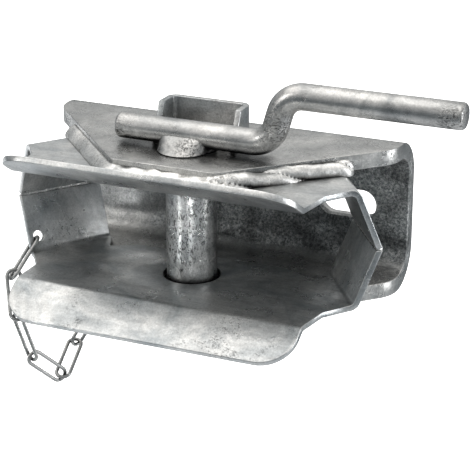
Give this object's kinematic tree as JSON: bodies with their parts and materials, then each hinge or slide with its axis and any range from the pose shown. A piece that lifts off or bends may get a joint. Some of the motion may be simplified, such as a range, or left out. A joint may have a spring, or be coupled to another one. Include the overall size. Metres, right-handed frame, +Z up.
{
  "type": "tow hitch",
  "caption": "Galvanised clevis tow hitch: C-shaped mounting channel, flared jaw, drop pin with cranked handle, retaining clip and safety chain.",
  "frame": {"origin": "centre of the flat mounting face at the back of the channel, midway between the two slots", "axes": "+X to the right as seen from the open jaw, +Y out of the mounting face towards the vehicle, so the jaw opens towards -Y, +Z up along the hitch pin"},
  "size_m": [0.2373, 0.1242, 0.173],
  "materials": {
    "channel_zinc": "hot-dip galvanised, mottled",
    "jaw_zinc": "hot-dip galvanised, mottled",
    "weld_zinc": "weld bead, galvanised over",
    "pin_zinc": "zinc plated, smooth",
    "handle_zinc": "galvanised, speckled",
    "stop_zinc": "galvanised strip",
    "clip_wire": "bright zinc-plated spring wire",
    "chain_wire": "bright zinc-plated wire"
  },
  "bodies": {
    "hitch_body": {"mounting_channel": "channel_zinc", "lower_jaw_shell": "jaw_zinc", "upper_jaw_shell": "jaw_zinc", "jaw_seam_weld_left": "weld_zinc", "jaw_seam_weld_right": "weld_zinc", "top_flange_weld": "weld_zinc", "bottom_flange_weld": "weld_zinc", "handle_stop": "stop_zinc", "handle_stop_weld": "weld_zinc"},
    "pin_and_handle": {"hitch_pin": "pin_zinc", "pin_handle": "handle_zinc", "handle_weld_front": "weld_zinc", "handle_weld_back": "weld_zinc", "retaining_clip": "clip_wire"},
    "first_link": {"chain_link_1": "chain_wire"},
    "second_link": {"chain_link_2": "chain_wire"},
    "third_link": {"chain_link_3": "chain_wire"},
    "fourth_link": {"chain_link_4": "chain_wire"},
    "fifth_link": {"chain_link_5": "chain_wire"},
    "sixth_link": {"chain_link_6": "chain_wire"},
    "seventh_link": {"chain_link_7": "chain_wire"},
    "eighth_link": {"chain_link_8": "chain_wire"},
    "ninth_link": {"chain_link_9": "chain_wire"}
  },
  "joints": [
    {"name": "pin_turn", "type": "hinge", "parent": "hitch_body", "child": "pin_and_handle", "pos_m": [0, -0.065, 0], "axis": [0, 0, 1], "range_deg": [-3, 4.5]},
    {"name": "first_link_swing", "type": "hinge", "parent": "hitch_body", "child": "first_link", "pos_m": [-0.08787, -0.06475, -0.02114], "axis": [-0.76, 0.5334, -0.3714], "range_deg": [-2.5, 0]},
    {"name": "chain_swing", "type": "hinge", "parent": "hitch_body", "child": "second_link", "pos_m": [-0.0255, -0.0595, -0.0457], "axis": [0.9364, 0.3275, -0.1265], "range_deg": [-8, 8]},
    {"name": "third_link_twist", "type": "hinge", "parent": "second_link", "child": "third_link", "pos_m": [-0.0818, -0.0916, -0.06606], "axis": [0.3313, 0.0572, -0.9418], "range_deg": [-5, 5]},
    {"name": "fourth_link_twist", "type": "hinge", "parent": "second_link", "child": "fourth_link", "pos_m": [-0.07422, -0.08382, -0.08421], "axis": [0.3577, 0.6419, -0.6782], "range_deg": [-5, 5]},
    {"name": "fifth_link_twist", "type": "hinge", "parent": "second_link", "child": "fifth_link", "pos_m": [-0.07115, -0.06634, -0.08624], "axis": [-0.1259, 0.8876, 0.4431], "range_deg": [-5, 5]},
    {"name": "sixth_link_twist", "type": "hinge", "parent": "second_link", "child": "sixth_link", "pos_m": [-0.06843, -0.05079, -0.07221], "axis": [0.3623, 0.4675, 0.8063], "range_deg": [-5, 5]},
    {"name": "seventh_link_twist", "type": "hinge", "parent": "second_link", "child": "seventh_link", "pos_m": [-0.05574, -0.04782, -0.06673], "axis": [0.8623, -0.2198, -0.4562], "range_deg": [-5, 5]},
    {"name": "eighth_link_twist", "type": "hinge", "parent": "second_link", "child": "eighth_link", "pos_m": [-0.03602, -0.05508, -0.06891], "axis": [0.8828, -0.4088, 0.2312], "range_deg": [-5, 5]},
    {"name": "ninth_link_twist", "type": "hinge", "parent": "second_link", "child": "ninth_link", "pos_m": [-0.02523, -0.0595, -0.05565], "axis": [0, 0, 1], "range_deg": [-5, 5]}
  ]
}
